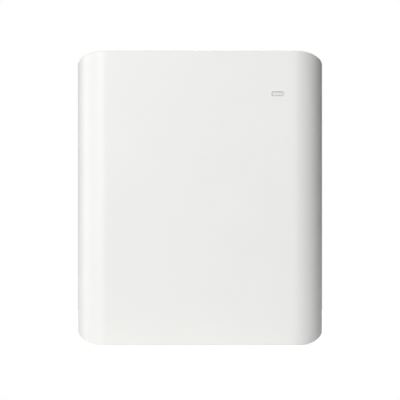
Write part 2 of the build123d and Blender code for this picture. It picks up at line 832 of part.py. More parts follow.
def microinverter():
    """Two-way inverter against the housing's back."""
    x0, x1 = -room_half + inverter_left_margin, room_half - inverter_right_margin
    z0, z1 = divider_top + inverter_edge_gap, room_top - inverter_edge_gap
    body = rounded_block(x0, x1, room_back - inverter_thickness, room_back, z0, z1, 6, Axis.Y)
    body = fillet(body.edges().group_by(Axis.Y)[0], 2)
    return body - [rod_y(x, z, screw_radius + screw_clearance, room_back - screw_length, room_back + 1)
                   for x, z in heatsink_screw_places() + hanger_screw_places()]


def ac_terminal_block():
    """Row of five screw terminals on the housing's back."""
    x0 = -room_half + 4
    z0 = divider_top + 12
    body = block(x0, x0 + 34, room_back - 20, room_back, z0, z0 + 60)
    for i in range(5):
        z = z0 + 6 + 12 * i
        body -= block(x0 + 5, x0 + 29, room_back - 21, room_back - 14, z - 4.5, z + 4.5)
    return body


def dc_lead(cell_centre, *route_end):
    """Battery lead: lug on the terminal, up through the divider, forward through the plate."""
    y0 = terminal_y["rear"]
    lane = plate_y - lead_lane
    half = 7
    lug = rounded_block(cell_centre - half, cell_centre + half, y0 - half, lead_rise_y + 5,
                        terminal_top, busbar_top, 3, Axis.Z)
    lug -= rod_z(cell_centre, y0, stud_radius + thread_gap, terminal_top - 1, busbar_top + 1)
    rise = [(cell_centre, lead_rise_y, busbar_top), (cell_centre, lead_rise_y, strip_z)]
    return lug, lead([*rise, (cell_centre, lane, strip_z), *route_end], lead_bend)


def dc_lead_positive():
    """Lead from the last cell up to the fuse holder's lower post."""
    return dc_lead(cell_x[-1], (cell_x[-1], plate_y - lead_lane, fuse_ends()[0] - 12))


def dc_lead_negative():
    """Lead from the first cell to the current shunt."""
    return dc_lead(cell_x[0], (shunt_ends()[0], plate_y - lead_lane, strip_z))


# ---- status board ----
def led_seat():
    """Front face of the status board's bracket."""
    return flange_y - led_bracket_thickness


def led_front():
    """Front of the light-emitting parts."""
    return led_seat() - led_standoff - board_thickness - led_height


def led_bracket():
    """Strip that hangs the status board from the top flange."""
    return block(window_x - 7, window_x + 7, led_seat(), flange_y, window_z - 7, flange_top)


def status_board():
    """Small board behind the window, with three light-emitting parts in a row."""
    y = led_front()
    face = y + led_height
    board = block(window_x - 9, window_x + 9, face, face + board_thickness, window_z - 5, window_z + 5)
    lights = [block(window_x + dx - 1.5, window_x + dx + 1.5, y, face, window_z - 1, window_z + 1)
              for dx in (-4.5, 0, 4.5)]
    return board, *lights


# ---- isolator ----
def isolator_body():
    """Rotary isolator behind the housing's right-hand wall."""
    body = block(room_half - isolator_depth, room_half, isolator_y - isolator_half, isolator_y + isolator_half,
                 isolator_z - isolator_half, isolator_z + isolator_half)
    return body - rod_x(isolator_y, isolator_z, shaft_radius + shaft_gap, room_half - 14, room_half + 1)


def isolator_plate():
    """Square front plate of the isolator, outside the wall."""
    half = isolator_plate_half
    face = house_half + isolator_plate_thickness
    plate = rounded_block(house_half, face, isolator_y - half, isolator_y + half,
                          isolator_z - half, isolator_z + half, 4, Axis.X)
    return plate - rod_x(isolator_y, isolator_z, shaft_radius + 0.5, house_half - 1, knob_base)


def isolator_shaft():
    """Shaft that the knob turns."""
    return rod_x(isolator_y, isolator_z, shaft_radius, room_half - 12, knob_base + 8)


def isolator_knob():
    """Round skirt with a straight grip across it."""
    skirt = rod_x(isolator_y, isolator_z, knob_radius, knob_base, knob_base + knob_skirt)
    skirt = fillet(skirt.edges().group_by(Axis.X)[-1], 1.2)
    half_w, half_l = knob_grip_width / 2, knob_radius - 1.5
    grip = block(knob_base + knob_skirt, knob_top, isolator_y - half_w, isolator_y + half_w,
                 isolator_z - half_l, isolator_z + half_l)
    grip = fillet(grip.edges().filter_by(Axis.X), 3)
    grip = fillet(grip.edges().group_by(Axis.X)[-1], 1.2)
    return skirt + grip - rod_x(isolator_y, isolator_z, shaft_radius + shaft_gap, knob_base - 1, knob_base + 9)


# ---- underside ----
def cable_gland(x):
    """Threaded gland body through the housing's floor."""
    body = hex_z(x, entry_y, gland_hex, house_bottom - gland_flange, house_bottom)
    body += rod_z(x, entry_y, gland_thread, house_bottom - gland_reach, room_floor + 2 * locknut_height)
    return body - rod_z(x, entry_y, gland_bore, house_bottom - gland_reach - 1, divider_z)


def gland_nut(x):
    """Domed nut that squeezes the seal."""
    top = house_bottom - gland_flange - 1
    seal_end = house_bottom - gland_reach - seal_length
    body = hex_z(x, entry_y, gland_hex, top - 8, top)
    dome = rod_z(x, entry_y, gland_thread + 2.4, seal_end - 2, top - 8)
    body += fillet(dome.edges().group_by(Axis.Z)[0], 2)
    body -= rod_z(x, entry_y, gland_thread + thread_gap, seal_end, top + 1)
    return body - rod_z(x, entry_y, gland_bore + 0.1, seal_end - 3, seal_end + 1)


def gland_seal(x):
    """Rubber ring round the cable."""
    top = house_bottom - gland_reach
    ring = rod_z(x, entry_y, gland_thread, top - seal_length, top)
    return ring - rod_z(x, entry_y, seal_bore, top - seal_length - 1, top + 1)


def gland_locknut(x):
    """Thin nut inside the housing."""
    nut = hex_z(x, entry_y, gland_hex - 1, room_floor, room_floor + locknut_height)
    return nut - rod_z(x, entry_y, gland_thread + thread_gap, room_floor - 1, room_floor + locknut_height + 1)


def button_bezel():
    """Ring and sleeve that guide the wake button."""
    bore = button_radius + button_gap
    sleeve = rod_z(button_x, entry_y, bore + bezel_wall, house_bottom, room_floor + sleeve_height)
    flange = rod_z(button_x, entry_y, bezel_radius, house_bottom - bezel_height, house_bottom)
    flange = fillet(flange.edges().group_by(Axis.Z)[0], 1)
    return sleeve + flange - rod_z(button_x, entry_y, bore, house_bottom - 2 * bezel_height, room_top)


def wake_button():
    """Round push button."""
    foot = house_bottom - bezel_height - button_travel - 0.5
    head = room_floor + sleeve_height - button_travel - 0.5
    cap = rod_z(button_x, entry_y, button_radius, foot, head)
    return fillet(cap.edges().group_by(Axis.Z)[0], 0.8)


def button_switch():
    """Switch on the end of the sleeve."""
    z0 = room_floor + sleeve_height
    body = block(button_x - 7, button_x + 7, entry_y - 7, entry_y + 7, z0, z0 + 9)
    pins = [rod_z(button_x + dx, entry_y, 0.6, z0 + 9, z0 + 13) for dx in (-3, 3)]
    return body + pins


def earth_stud():
    """Stud with a nut each side of the floor and a thread relief between the outer nut and the lug's seat."""
    relief = house_bottom - nut_height
    lug_seat = rod_z(earth_x, entry_y, stud_radius, house_bottom - 12, relief - relief_height)
    neck = rod_z(earth_x, entry_y, stud_radius - relief_depth, relief - relief_height, relief)
    shank = rod_z(earth_x, entry_y, stud_radius, relief, room_floor + 9)
    stud = lug_seat + neck + shank
    outside = stud_nut(earth_x, entry_y, house_bottom - nut_height)
    inside = stud_nut(earth_x, entry_y, room_floor)
    return stud, outside, inside


def lid_screws():
    """Every screw of the lid."""
    return [screw_y(x, z, lid_front) for x, z in lid_screw_places()]


def heatsink_screws():
    """Screws of the heatsink, from the wall side."""
    return [back_screw(x, z, house_back + heatsink_base) for x, z in heatsink_screw_places()]


def hanger_screws():
    """Screws of the hanger rail, from the wall side."""
    return [back_screw(x, z, house_back + hanger_sheet) for x, z in hanger_screw_places()]


def main():
    """Builds every sub-part and writes its STEP file."""
    os.makedirs("parts", exist_ok=True)
    save("wall_bracket", wall_bracket())
    save("housing", housing())
    save("housing_lid", housing_lid())
    save("lid_gasket", lid_gasket())
    save("lid_screws", *lid_screws())
    save("bay_divider", bay_divider())
    save("rear_heatsink", rear_heatsink())
    save("heatsink_screws", *heatsink_screws())
    save("hanger_rail", hanger_rail())
    save("hanger_screws", *hanger_screws())
    save("wall_bumpers", *wall_bumpers())
    for number, x in enumerate(cell_x, 1):
        save(f"cell_{number}", cell(x))
    save("cell_separators", *cell_separators())
    save("end_plate_left", end_plate_at(-1))
    save("end_plate_right", end_plate_at(1))
    save("tension_bands", *tension_bands())
    save("cell_tray", cell_tray())
    save("busbars", *busbars())
    save("terminal_nuts", *terminal_nuts())
    save("sense_board", *sense_board())
    save("electronics_plate", electronics_plate())
    save("bms_board", bms_board())
    save("board_standoffs", *board_standoffs())
    save("bms_heatsink", bms_heatsink())
    save("board_components", *board_components())
    save("main_contactor", main_contactor())
    save("fuse_holder", fuse_holder())
    save("dc_fuse", dc_fuse())
    save("link_bar", *link_bar())
    save("current_shunt", current_shunt())
    save("microinverter", microinverter())
    save("ac_terminal_block", ac_terminal_block())
    save("dc_lead_positive", *dc_lead_positive())
    save("dc_lead_negative", *dc_lead_negative())
    save("inverter_leads", *inverter_leads())
    save("led_bracket", led_bracket())
    save("status_board", *status_board())
    save("isolator_body", isolator_body())
    save("isolator_plate", isolator_plate())
    save("isolator_shaft", isolator_shaft())
    save("isolator_knob", isolator_knob())
    save("cable_glands", *[cable_gland(x) for x in gland_x])
    save("gland_nuts", *[gland_nut(x) for x in gland_x])
    save("gland_seals", *[gland_seal(x) for x in gland_x])
    save("gland_locknuts", *[gland_locknut(x) for x in gland_x])
    save("button_bezel", button_bezel())
    save("wake_button", wake_button())
    save("button_switch", button_switch())
    save("earth_stud", *earth_stud())
    save("front_cover", front_cover())
    save("status_lens", status_lens())
    save("cover_studs", *cover_studs())
    save("cover_clips", *cover_clips())


main()
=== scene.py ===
"""Looks of a small wall-hung battery unit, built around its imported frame.

Lengths are written in millimetres in the frame's own axes (+Z up, the front faces -Y, +Y into the wall) and
become metres where a mesh is made. A new piece is a surface computed with numpy: a grid of points over two
parameters, or a profile carried along a path.
"""

from __future__ import annotations

import json
import logging
import math
from dataclasses import dataclass, field
from enum import Enum
from typing import Callable, Iterable, Sequence

import bmesh
import bpy
import numpy as np
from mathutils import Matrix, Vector

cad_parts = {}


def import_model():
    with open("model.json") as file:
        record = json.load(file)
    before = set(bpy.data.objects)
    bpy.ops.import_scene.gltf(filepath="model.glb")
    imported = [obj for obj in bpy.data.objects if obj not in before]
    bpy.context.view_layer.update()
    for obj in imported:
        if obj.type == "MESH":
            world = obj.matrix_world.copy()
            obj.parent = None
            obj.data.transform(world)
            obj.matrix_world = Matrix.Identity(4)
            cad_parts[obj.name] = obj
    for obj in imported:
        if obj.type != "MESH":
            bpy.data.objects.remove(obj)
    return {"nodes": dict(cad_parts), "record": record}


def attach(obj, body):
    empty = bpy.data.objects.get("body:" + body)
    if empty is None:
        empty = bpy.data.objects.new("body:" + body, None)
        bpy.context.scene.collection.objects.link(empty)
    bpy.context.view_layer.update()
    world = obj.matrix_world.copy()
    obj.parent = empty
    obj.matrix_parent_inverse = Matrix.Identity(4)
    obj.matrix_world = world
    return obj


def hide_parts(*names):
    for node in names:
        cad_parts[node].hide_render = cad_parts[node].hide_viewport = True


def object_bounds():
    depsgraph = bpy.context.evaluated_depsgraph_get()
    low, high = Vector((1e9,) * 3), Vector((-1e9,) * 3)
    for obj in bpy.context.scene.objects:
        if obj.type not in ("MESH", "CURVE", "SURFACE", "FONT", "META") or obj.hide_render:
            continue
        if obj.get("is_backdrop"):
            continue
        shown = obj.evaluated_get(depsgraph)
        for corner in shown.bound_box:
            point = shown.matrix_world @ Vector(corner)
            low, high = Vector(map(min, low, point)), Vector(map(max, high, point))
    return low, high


MM = 0.001
LOG = logging.getLogger("battery_unit")
Point = tuple[float, float, float]
Outline = Callable[[float], np.ndarray]  # growth in millimetres to a closed outline, points by 2

SEAM = 1e-6  # metres within which a new surface's seam points merge
NODE_SEAM = 2e-6  # metres within which the points of a frame node merge
FLAT_DEGREES = 0.6  # faces of a frame node that meet at less are one flat
MIX_A, MIX_B = 2, 3  # inputs of a mix node for numbers
TINT_A, TINT_B, TINTED = 6, 7, 2  # inputs and output of a mix node for colours
GRAIN_SHARE = 0.35  # of the grain in a finish's colour drift
NOISE_LOW, NOISE_HIGH = 0.3, 0.7  # where noise starts to count as one tone or the other


# ---------------------------------------------------------------- colour and nodes


def linear(code: str) -> tuple[float, float, float, float]:
    """Turns an sRGB hex colour into linear RGBA.

    Args:
        code: six hex digits after a hash.

    Returns:
        The linear colour with alpha 1.
    """
    values = np.array([int(code[i:i + 2], 16) for i in (1, 3, 5)]) / 255.0
    low, high = values / 12.92, ((values + 0.055) / 1.055) ** 2.4
    return (*np.where(values <= 0.04045, low, high).tolist(), 1.0)


def add_node(tree: bpy.types.NodeTree, kind: str, settings: dict | None = None, inputs: dict | None = None):
    """Adds one shader node with its settings and links.

    Args:
        tree: the node tree it goes into.
        kind: the node's Blender type.
        settings: attribute values.
        inputs: input socket (name or index) to a value, or to an output socket to link.

    Returns:
        The node.
    """
    node = tree.nodes.new(kind)
    for key, value in (settings or {}).items():
        setattr(node, key, value)
    for key, value in (inputs or {}).items():
        if isinstance(value, bpy.types.NodeSocket):
            tree.links.new(value, node.inputs[key])
        else:
            node.inputs[key].default_value = value
    return node


# ---------------------------------------------------------------- finishes


@dataclass(frozen=True)
class Finish:
    """A surface: what it is made of, how it was made, and what that gives the eye.

    The colour drifts between two close tones over a hand's width, and the grain sets relief and shine.
    """

    name: str
    colour: str
    tone: str
    roughness: float
    grain_mm: float = 1.6
    relief_mm: float = 0.006
    shine_swing: float = 0.05
    metallic: float = 0.0
    ior: float = 1.5
    coat: float = 0.0
    stretch: Point = (1.0, 1.0, 1.0)
    drift_mm: float = 70.0

    def build(self) -> bpy.types.Material:
        """Makes the material.

        Returns:
            The finished material.
        """
        material = bpy.data.materials.new(self.name)
        material.use_nodes = True
        tree = material.node_tree
        tree.nodes.clear()
        where = add_node(tree, "ShaderNodeTexCoord").outputs["Object"]
        height = self.relief(tree, where)
        colour = self.paint(tree, where, height)
        shine = add_node(tree, "ShaderNodeMapRange", None, {
            "Value": height, "To Min": self.roughness - self.shine_swing, "To Max": self.roughness + self.shine_swing,
        }).outputs["Result"]
        bump = add_node(tree, "ShaderNodeBump", None, {
            "Strength": 1.0, "Distance": self.relief_mm * MM, "Height": height,
        }).outputs["Normal"]
        surface = add_node(tree, "ShaderNodeBsdfPrincipled", None, {
            "Base Color": colour, "Roughness": shine, "Normal": bump, "Metallic": self.metallic, "IOR": self.ior,
            "Coat Weight": self.coat, "Coat Roughness": 0.15,
        })
        self.adjust(surface)
        add_node(tree, "ShaderNodeOutputMaterial", None, {"Surface": surface.outputs["BSDF"]})
        return material

    def spread(self, tree: bpy.types.NodeTree, where: bpy.types.NodeSocket, size_mm: float):
        """Object coordinates scaled so that one unit is size_mm, drawn out along self.stretch."""
        scale = [1.0 / (size_mm * MM * s) for s in self.stretch]
        return add_node(tree, "ShaderNodeMapping", None, {"Vector": where, "Scale": scale}).outputs["Vector"]

    def relief(self, tree: bpy.types.NodeTree, where: bpy.types.NodeSocket) -> bpy.types.NodeSocket:
        """Height of the surface texture, 0 to 1: one noise at the size of the grain."""
        spot = self.spread(tree, where, self.grain_mm)
        return add_node(tree, "ShaderNodeTexNoise", None, {"Vector": spot, "Scale": 1.0, "Detail": 2.0}).outputs["Fac"]

    def paint(self, tree: bpy.types.NodeTree, where: bpy.types.NodeSocket, height: bpy.types.NodeSocket):
        """Base colour: a slow drift between the two tones, with a trace of the grain."""
        spot = add_node(tree, "ShaderNodeMapping", None, {
            "Vector": where, "Scale": [1.0 / (self.drift_mm * MM)] * 3,
        }).outputs["Vector"]
        drift = add_node(tree, "ShaderNodeTexNoise", None, {"Vector": spot, "Scale": 1.0, "Detail": 3.0}).outputs["Fac"]
        both = add_node(tree, "ShaderNodeMix", {"data_type": "FLOAT"}, {
            "Factor": GRAIN_SHARE, MIX_A: drift, MIX_B: height,
        }).outputs[0]
        part = add_node(tree, "ShaderNodeMapRange", None, {
            "Value": both, "From Min": NOISE_LOW, "From Max": NOISE_HIGH,
        })
        return add_node(tree, "ShaderNodeMix", {"data_type": "RGBA"}, {
            "Factor": part.outputs["Result"], TINT_A: linear(self.colour), TINT_B: linear(self.tone),
        }).outputs[TINTED]

    def adjust(self, surface: bpy.types.ShaderNodeBsdfPrincipled) -> None:
        """Last settings on the shader's own sockets; none here."""


@dataclass(frozen=True)
class PowderCoat(Finish):
    """Baked powder coat on sheet steel: an even colour with a soft orange peel that breaks up highlights."""

    fine_share: float = 0.4

    def relief(self, tree: bpy.types.NodeTree, where: bpy.types.NodeSocket) -> bpy.types.NodeSocket:
        """Rounded peel: smooth cells of the grain's size, with a finer noise on them."""
        spot = self.spread(tree, where, self.grain_mm)
        cells = add_node(tree, "ShaderNodeTexVoronoi", {"feature": "SMOOTH_F1"}, {
            "Vector": spot, "Scale": 1.0, "Smoothness": 1.0,
        }).outputs["Distance"]
        fine = add_node(tree, "ShaderNodeTexNoise", None, {"Vector": spot, "Scale": 2.3, "Detail": 1.0}).outputs["Fac"]
        return add_node(tree, "ShaderNodeMix", {"data_type": "FLOAT"}, {
            "Factor": self.fine_share, MIX_A: cells, MIX_B: fine,
        }).outputs[0]


@dataclass(frozen=True)
class DrawnMetal(Finish):
    """Bare metal with the fine lines that rolling, drawing or turning leaves along it."""

    def relief(self, tree: bpy.types.NodeTree, where: bpy.types.NodeSocket) -> bpy.types.NodeSocket:
        """Streaks: noise drawn out along the stretch, so its lines run that way."""
        spot = self.spread(tree, where, self.grain_mm)
        return add_node(tree, "ShaderNodeTexNoise", None, {
            "Vector": spot, "Scale": 1.0, "Detail": 4.0, "Roughness": 0.65,
        }).outputs["Fac"]


@dataclass(frozen=True)
class ZincPlate(Finish):
    """Bright zinc plating: crystals of slightly different grey, clear on flat sheet."""

    crystal_grains: float = 3.0

    def paint(self, tree: bpy.types.NodeTree, where: bpy.types.NodeSocket, height: bpy.types.NodeSocket):
        """One tone per crystal, drawn at the grain's size."""
        spot = self.spread(tree, where, self.grain_mm * self.crystal_grains)
        crystal = add_node(tree, "ShaderNodeTexVoronoi", None, {"Vector": spot, "Scale": 1.0}).outputs["Color"]
        value = add_node(tree, "ShaderNodeSeparateColor", None, {"Color": crystal}).outputs["Red"]
        return add_node(tree, "ShaderNodeMix", {"data_type": "RGBA"}, {
            "Factor": value, TINT_A: linear(self.colour), TINT_B: linear(self.tone),
        }).outputs[TINTED]


@dataclass(frozen=True)
class CircuitBoard(Finish):
    """Glass-epoxy board under solder resist: tracks show through as lighter lines of a fixed pitch."""

    track_mm: float = 2.4

    def paint(self, tree: bpy.types.NodeTree, where: bpy.types.NodeSocket, height: bpy.types.NodeSocket):
        """Tracks: bricks of uneven length whose joints are the gaps between copper areas."""
        spot = add_node(tree, "ShaderNodeMapping", None, {
            "Vector": where, "Rotation": (math.radians(90), 0, 0), "Scale": [1.0 / (self.track_mm * MM)] * 3,
        }).outputs["Vector"]
        bricks = add_node(tree, "ShaderNodeTexBrick", {"offset": 0.37, "squash": 2.0, "squash_frequency": 3}, {
            "Vector": spot, "Color1": (1, 1, 1, 1), "Color2": (0.25, 0.25, 0.25, 1), "Mortar": (0, 0, 0, 1),
            "Scale": 1.0, "Mortar Size": 0.12, "Brick Width": 5.0, "Row Height": 1.0,
        }).outputs["Color"]
        value = add_node(tree, "ShaderNodeSeparateColor", None, {"Color": bricks}).outputs["Red"]
        return add_node(tree, "ShaderNodeMix", {"data_type": "RGBA"}, {
            "Factor": value, TINT_A: linear(self.colour), TINT_B: linear(self.tone),
        }).outputs[TINTED]


@dataclass(frozen=True)
class Translucent(Finish):
    """Milky polycarbonate that passes and scatters light."""

    transmission: float = 0.1

    def adjust(self, surface: bpy.types.ShaderNodeBsdfPrincipled) -> None:
        """Lets part of the light through."""
        surface.inputs["Transmission Weight"].default_value = self.transmission


# Each slot of the record and its finish.
FINISHES: dict[str, Finish] = {
    # ABS and polycarbonate blend, moulded in a fine spark-eroded tool: satin white, slightly warm. The real
    # texture is under 0.2 mm, so it is drawn at 1.1 mm and very low.
    "cover_plastic": Finish("satin_white_abs", "#EFEFED", "#EDEDEB", 0.42, 1.1, 0.0025, 0.03),
    # Diffusing polycarbonate, polished tool.
    "lens_plastic": Translucent("diffusing_polycarbonate", "#F2F3F1", "#EDEEEC", 0.28, 1.0, 0.001, 0.02, ior=1.58),
    # Acetal, as moulded: waxy white.
    "clip_plastic": Finish("natural_acetal", "#E2E0D8", "#D8D6CC", 0.4, 0.9, 0.003),
    # Light grey powder coat on steel sheet.
    "housing_steel": PowderCoat("light_grey_powder_coat", "#B4B7B8", "#AEB1B2", 0.5, 1.5, 0.03, 0.06),
    "lid_steel": PowderCoat("light_grey_powder_coat_lid", "#B4B7B8", "#AEB1B2", 0.5, 1.5, 0.03, 0.06),
    "bracket_steel": PowderCoat("dark_grey_powder_coat", "#4A4C4E", "#444648", 0.52, 1.5, 0.03, 0.06),
    # Bright zinc on folded sheet.
    "zinc_steel": ZincPlate("bright_zinc_plate", "#C9CCCD", "#B4B8BB", 0.32, 1.4, 0.003, 0.06, metallic=1.0),
    # Stainless, cold headed: nearly smooth, with faint draw lines.
    "stainless": DrawnMetal("stainless_steel", "#C4C2BD", "#B2B0AB", 0.28, 0.5, 0.003, 0.08, metallic=1.0,
                            stretch=(1.0, 14.0, 1.0)),
    # Black anodised extrusion: die lines run along it.
    "black_aluminium": DrawnMetal("black_anodised_aluminium", "#232325", "#1B1B1D", 0.42, 0.5, 0.004, 0.06,
                                  metallic=0.6, stretch=(1.0, 1.0, 24.0)),
    "bare_aluminium": DrawnMetal("rolled_aluminium", "#CFD0D2", "#BDBEC1", 0.36, 0.4, 0.003, 0.08, metallic=1.0,
                                 stretch=(24.0, 1.0, 1.0)),
    # Sponge rubber with an open skin, then moulded and nitrile rubber.
    "gasket_rubber": Finish("sponge_rubber", "#1E1E1F", "#161617", 0.85, 0.8, 0.05),
    "bumper_rubber": Finish("moulded_rubber", "#222223", "#1B1B1C", 0.7, 1.0, 0.012),
    "seal_rubber": Finish("nitrile_rubber", "#1C1C1E", "#161618", 0.6, 0.8, 0.006),
    # Insulating film, shrunk on: glossy, faintly rippled.
    "cell_film": Finish("blue_insulating_film", "#1F4E9C", "#1B458C", 0.22, 9.0, 0.05, 0.06),
    "separator_sheet": Finish("aramid_paper", "#DDD6C0", "#CFC7AE", 0.75, 0.9, 0.02),
    "end_plate_resin": Finish("glass_filled_nylon", "#2A2A2C", "#232325", 0.55, 0.7, 0.01),
    "tray_plastic": Finish("black_polypropylene", "#1F1F21", "#19191B", 0.5, 1.2, 0.008),
    "nickel_copper": DrawnMetal("nickel_plated_copper", "#D6D0C2", "#C4BDAD", 0.3, 0.5, 0.003, 0.06, metallic=1.0,
                                stretch=(16.0, 1.0, 1.0)),
    "bare_copper": DrawnMetal("drawn_copper", "#D98A5E", "#C67648", 0.3, 0.5, 0.003, 0.07, metallic=1.0,
                              stretch=(16.0, 1.0, 1.0)),
    "shunt_brass": DrawnMetal("machined_brass", "#D6B567", "#C39F4D", 0.3, 0.5, 0.003, 0.07, metallic=1.0,
                              stretch=(1.0, 1.0, 10.0)),
    "board_green": CircuitBoard("green_solder_resist", "#0F3D24", "#1B5A35", 0.3, 1.0, 0.006, 0.05, coat=0.3),
    "component_black": Finish("component_black_epoxy", "#232325", "#1C1C1E", 0.5, 0.8, 0.006),
    "contactor_black": Finish("black_thermoset", "#242426", "#1D1D1F", 0.45, 1.0, 0.008),
    "fuse_base": Finish("glass_filled_polyester", "#CFC9B6", "#C3BCA6", 0.55, 0.9, 0.012),
    "fuse_ceramic": Finish("glazed_ceramic", "#EDE9DD", "#E3DECF", 0.16, 6.0, 0.02, 0.04, coat=0.5),
    "inverter_case": Finish("grey_cast_aluminium", "#8D9093", "#83868A", 0.5, 0.9, 0.03, 0.07, metallic=0.7),
    "terminal_grey": Finish("grey_polyamide", "#8F9292", "#868989", 0.5, 0.9, 0.008),
    "switch_black": Finish("black_polycarbonate", "#202022", "#1A1A1C", 0.42, 0.9, 0.006),
    "switch_plate": Finish("grey_polycarbonate", "#AFB1B0", "#A7A9A8", 0.45, 0.9, 0.008),
    "knob_black": Finish("black_nylon", "#262628", "#1F1F21", 0.46, 0.9, 0.01),
    "gland_nylon": Finish("black_polyamide", "#252527", "#1E1E20", 0.48, 0.9, 0.008),
    "button_plastic": Finish("green_button_plastic", "#2E8B57", "#2A8051", 0.34, 0.9, 0.004),
    "standoff_nylon": Finish("natural_nylon", "#E4E1D2", "#D9D5C3", 0.45, 0.9, 0.005),
    "lead_red": Finish("red_silicone_insulation", "#B3261E", "#A3201A", 0.5, 1.2, 0.008),
    "lead_black": Finish("black_silicone_insulation", "#1C1C1D", "#161617", 0.5, 1.2, 0.008),
}


# ---------------------------------------------------------------- numpy surfaces


@dataclass
class Surface:
    """Points and faces of one piece, in millimetres, gathered from grids."""

    points: list[np.ndarray] = field(default_factory=list)
    faces: list[tuple[int, ...]] = field(default_factory=list)
    count: int = 0

    def grid(self, points: np.ndarray, closed: bool = False, flip: bool = False) -> "Surface":
        """Adds a grid of quads.

        Args:
            points: array of rows by columns by 3.
            closed: joins the last column to the first.
            flip: turns the faces over.

        Returns:
            This surface.
        """
        rows, columns = points.shape[:2]
        index = np.arange(rows * columns).reshape(rows, columns) + self.count
        if closed:
            index = np.hstack([index, index[:, :1]])
        quads = np.stack([index[:-1, :-1], index[:-1, 1:], index[1:, 1:], index[1:, :-1]], axis=-1).reshape(-1, 4)
        quads = quads[:, ::-1] if flip else quads
        self.points.append(points.reshape(-1, 3))
        self.faces.extend(map(tuple, quads.tolist()))
        self.count += rows * columns
        return self

    def lid(self, ring: np.ndarray, flip: bool = False) -> "Surface":
        """Adds one flat face over a ring of points.

        Args:
            ring: points by 3.
            flip: turns the face over.

        Returns:
            This surface.
        """
        order = tuple(range(self.count, self.count + len(ring)))
        self.points.append(ring)
        self.faces.append(order[::-1] if flip else order)
        self.count += len(ring)
        return self

    def mesh(self, name: str) -> bpy.types.Object:
        """Makes the object: merges seams, turns faces outwards and links it.

        Args:
            name: the object's name.

        Returns:
            The object, at the origin.
        """
        data = bpy.data.meshes.new(name)
        data.from_pydata((np.vstack(self.points) * MM).tolist(), [], self.faces)
        piece = bpy.data.objects.new(name, data)
        bpy.context.scene.collection.objects.link(piece)
        shape = bmesh.new()
        shape.from_mesh(data)
        bmesh.ops.remove_doubles(shape, verts=shape.verts, dist=SEAM)
        bmesh.ops.recalc_face_normals(shape, faces=shape.faces)
        shape.to_mesh(data)
        shape.free()
        return piece


def rounded_outline(width: float, height: float, radius: float, steps: int = 8) -> np.ndarray:
    """Closed outline of a rectangle with round corners, counter-clockwise.

    Each corner is a quarter circle about a centre that lies one radius in from both sides.

    Args:
        width: along the first axis.
        height: along the second axis.
        radius: of the corners.
        steps: segments in each corner.

    Returns:
        Array of points by 2.
    """
    parts = []
    for quarter, (sx, sy) in enumerate(((1, 1), (-1, 1), (-1, -1), (1, -1))):
        angle = np.linspace(quarter, quarter + 1, steps + 1) * np.pi / 2
        centre = np.array([sx * (width / 2 - radius), sy * (height / 2 - radius)])
        parts.append(centre + radius * np.stack([np.cos(angle), np.sin(angle)], axis=-1))
    return np.vstack(parts)


def stack_rings(outline_at: Outline, levels: Iterable[tuple[float, float]]) -> np.ndarray:
    """Rings of an outline that grows or shrinks from level to level.

    Args:
        outline_at: gives the outline, points by 2, for a growth.
        levels: height and growth of each ring.

    Returns:
        Grid of rings by points by 3, with the height along Z.
    """
    rings = []
    for height, growth in levels:
        ring = outline_at(growth)
        rings.append(np.column_stack([ring, np.full(len(ring), height)]))
    return np.stack(rings)


class Facing(Enum):
    """Which way the local +Z of a surface points in the frame."""

    UP = "up"
    DOWN = "down"
    FRONT = "front"
    RIGHT = "right"


def place(grid: np.ndarray, centre: Point, facing: Facing) -> np.ndarray:
    """Turns a local grid to face a way and moves it.

    Args:
        grid: any array whose last axis is x, y, z.
        centre: where the local origin goes, in millimetres.
        facing: where the local +Z goes.

    Returns:
        The grid in the frame.
    """
    x, y, z = np.moveaxis(grid, -1, 0)
    turned = {
        Facing.UP: (x, y, z),
        Facing.DOWN: (x, -y, -z),
        Facing.FRONT: (x, -z, y),
        Facing.RIGHT: (z, x, y),
    }[facing]
    return np.stack(turned, axis=-1) + np.array(centre)


def smooth(piece: bpy.types.Object, angle: float = 32.0) -> bpy.types.Object:
    """Shades a piece smooth, with edges sharper than the angle kept crisp.

    Args:
        piece: the piece.
        angle: in degrees.

    Returns:
        The piece.
    """
    data = piece.data
    shape = bmesh.new()
    shape.from_mesh(data)
    limit = math.radians(angle)
    for face in shape.faces:
        face.smooth = True
    for edge in shape.edges:
        edge.smooth = len(edge.link_faces) == 2 and edge.calc_face_angle(0.0) < limit
    shape.to_mesh(data)
    shape.free()
    return piece


def bevel(piece: bpy.types.Object, width_mm: float, segments: int = 2, angle: float = 40.0) -> bpy.types.Object:
    """Adds a bevel on the piece's sharp edges.

    Args:
        piece: the piece.
        width_mm: of the bevel.
        segments: across the bevel.
        angle: edges sharper than this many degrees are bevelled.

    Returns:
        The piece.
    """
    cut = piece.modifiers.new("edge", "BEVEL")
    cut.width, cut.segments = width_mm * MM, segments
    cut.limit_method, cut.angle_limit = "ANGLE", math.radians(angle)
    cut.miter_outer = "MITER_ARC"
    return piece


def keep_flats(piece: bpy.types.Object) -> bpy.types.Object:
    """Weighs the normals by face area, so flats shade flat beside their rounds."""
    weigh = piece.modifiers.new("flats", "WEIGHTED_NORMAL")
    weigh.keep_sharp = True
    return piece


def settle(piece: bpy.types.Object) -> bpy.types.Object:
    """Applies every modifier on a piece."""
    graph = bpy.context.evaluated_depsgraph_get()
    graph.update()
    data = bpy.data.meshes.new_from_object(piece.evaluated_get(graph))
    old = piece.data
    piece.modifiers.clear()
    piece.data = data
    bpy.data.meshes.remove(old)
    return piece


